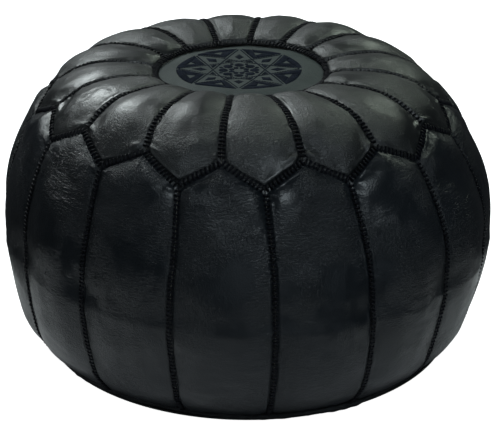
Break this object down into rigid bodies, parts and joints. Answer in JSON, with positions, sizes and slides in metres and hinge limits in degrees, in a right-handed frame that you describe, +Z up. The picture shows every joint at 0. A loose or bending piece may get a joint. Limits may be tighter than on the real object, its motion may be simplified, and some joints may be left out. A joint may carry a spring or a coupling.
{
  "type": "floor cushion pouf",
  "caption": "Round stuffed leather pouf: pointed top petals round an embroidered medallion, tall side panels, thick braided seams, piped base that opens with a zip.",
  "frame": {"origin": "centre of the base, on the floor", "axes": "+Z up through the middle of the medallion; X along the zip; a side seam faces -Y, the front"},
  "size_m": [0.4992, 0.4992, 0.2906],
  "materials": {
    "top_leather": "soft worn sheen, mottled",
    "side_leather": "soft worn sheen",
    "medallion_leather": "soft worn sheen",
    "embroidery_thread": "satin stitch",
    "braid_thread": "braided thread",
    "base_leather": "matt",
    "piping_leather": "soft sheen",
    "piping_cord": "twisted cotton",
    "zip_tape": "woven",
    "zip_metal": "dull antique brass",
    "liner_cotton": "plain weave",
    "stuffing_cotton": "loose fibre"
  },
  "bodies": {
    "cushion": {"top_petal_01": "top_leather", "top_petal_02": "top_leather", "top_petal_03": "top_leather", "top_petal_04": "top_leather", "top_petal_05": "top_leather", "top_petal_06": "top_leather", "top_petal_07": "top_leather", "top_petal_08": "top_leather", "top_petal_09": "top_leather", "top_petal_10": "top_leather", "top_petal_11": "top_leather", "top_petal_12": "top_leather", "top_petal_13": "top_leather", "top_petal_14": "top_leather", "top_petal_15": "top_leather", "top_petal_16": "top_leather", "side_panel_01": "side_leather", "side_panel_02": "side_leather", "side_panel_03": "side_leather", "side_panel_04": "side_leather", "side_panel_05": "side_leather", "side_panel_06": "side_leather", "side_panel_07": "side_leather", "side_panel_08": "side_leather", "side_panel_09": "side_leather", "side_panel_10": "side_leather", "side_panel_11": "side_leather", "side_panel_12": "side_leather", "side_panel_13": "side_leather", "side_panel_14": "side_leather", "side_panel_15": "side_leather", "side_panel_16": "side_leather", "medallion": "medallion_leather", "medallion_embroidery": "embroidery_thread", "medallion_braid": "braid_thread", "top_seam_braids": "braid_thread", "zigzag_braid": "braid_thread", "side_seam_braids": "braid_thread", "base_half_front": "base_leather", "base_half_back": "base_leather", "base_piping_cover": "piping_leather", "base_piping_cord": "piping_cord", "zip_tape_front": "zip_tape", "zip_tape_back": "zip_tape", "zip_teeth_front": "zip_metal", "zip_teeth_back": "zip_metal", "zip_stops": "zip_metal", "liner": "liner_cotton", "stuffing": "stuffing_cotton"},
    "slider": {"zip_slider": "zip_metal"},
    "pull": {"zip_pull": "zip_metal"}
  },
  "joints": [
    {"name": "zip_slide", "type": "slide", "parent": "cushion", "child": "slider", "axis": [1, 0, 0], "range_m": [0, 0.325]},
    {"name": "pull_swing", "type": "hinge", "parent": "slider", "child": "pull", "pos_m": [-0.1625, 0, 0.0046], "axis": [0, 1, 0], "range_deg": [0, 170]}
  ]
}
